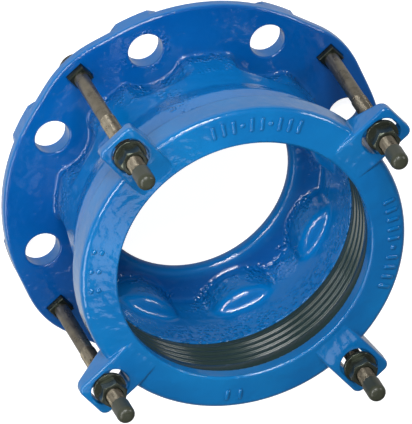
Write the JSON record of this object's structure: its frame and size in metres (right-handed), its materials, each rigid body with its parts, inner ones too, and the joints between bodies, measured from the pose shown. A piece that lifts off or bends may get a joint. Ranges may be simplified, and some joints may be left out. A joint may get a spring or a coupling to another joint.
{
  "type": "universal flange adaptor",
  "caption": "Cast flange with a flared socket; a clamp ring drawn down by long bolts squeezes a ribbed rubber gasket onto a plain pipe end.",
  "frame": {"origin": "centre of the flange's joint face, which is the lowest face", "axes": "+Z along the pipe axis from the flange to the clamp ring; the clamp bolts stand at 45 degrees to X and Y"},
  "size_m": [0.287, 0.287, 0.177],
  "materials": {
    "body_coating": "gloss",
    "ring_coating": "gloss",
    "gasket_rubber": "satin",
    "coated_steel": "dark satin",
    "cap_plastic": "gloss"
  },
  "bodies": {
    "body": {"flange_body": "body_coating", "gasket": "gasket_rubber", "clamp_bolt_1": "coated_steel", "clamp_bolt_2": "coated_steel", "clamp_bolt_3": "coated_steel", "clamp_bolt_4": "coated_steel", "thread_cap_1": "cap_plastic", "thread_cap_2": "cap_plastic", "thread_cap_3": "cap_plastic", "thread_cap_4": "cap_plastic"},
    "ring": {"clamp_ring": "ring_coating", "washer_1": "coated_steel", "washer_2": "coated_steel", "washer_3": "coated_steel", "washer_4": "coated_steel"},
    "nut_1": {"nut_1": "coated_steel"},
    "nut_2": {"nut_2": "coated_steel"},
    "nut_3": {"nut_3": "coated_steel"},
    "nut_4": {"nut_4": "coated_steel"}
  },
  "joints": [
    {"name": "clamp_ring_slide", "type": "slide", "parent": "body", "child": "ring", "axis": [0, 0, 1], "range_m": [-0.01, 0.012], "deforming": ["gasket"]},
    {"name": "nut_1_turn", "type": "hinge", "parent": "ring", "child": "nut_1", "pos_m": [0.0944, 0.0944, 0.1404], "axis": [0, 0, 1], "range_deg": [-2060, 2472]},
    {"name": "nut_2_turn", "type": "hinge", "parent": "ring", "child": "nut_2", "pos_m": [-0.0944, 0.0944, 0.1404], "axis": [0, 0, 1], "range_deg": [-2060, 2472]},
    {"name": "nut_3_turn", "type": "hinge", "parent": "ring", "child": "nut_3", "pos_m": [-0.0944, -0.0944, 0.1404], "axis": [0, 0, 1], "range_deg": [-2060, 2472]},
    {"name": "nut_4_turn", "type": "hinge", "parent": "ring", "child": "nut_4", "pos_m": [0.0944, -0.0944, 0.1404], "axis": [0, 0, 1], "range_deg": [-2060, 2472]}
  ],
  "couplings": [
    {"joint": "nut_1_turn", "follows": "clamp_ring_slide", "rad_per_m": 3590.4},
    {"joint": "nut_2_turn", "follows": "clamp_ring_slide", "rad_per_m": 3590.4},
    {"joint": "nut_3_turn", "follows": "clamp_ring_slide", "rad_per_m": 3590.4},
    {"joint": "nut_4_turn", "follows": "clamp_ring_slide", "rad_per_m": 3590.4}
  ]
}
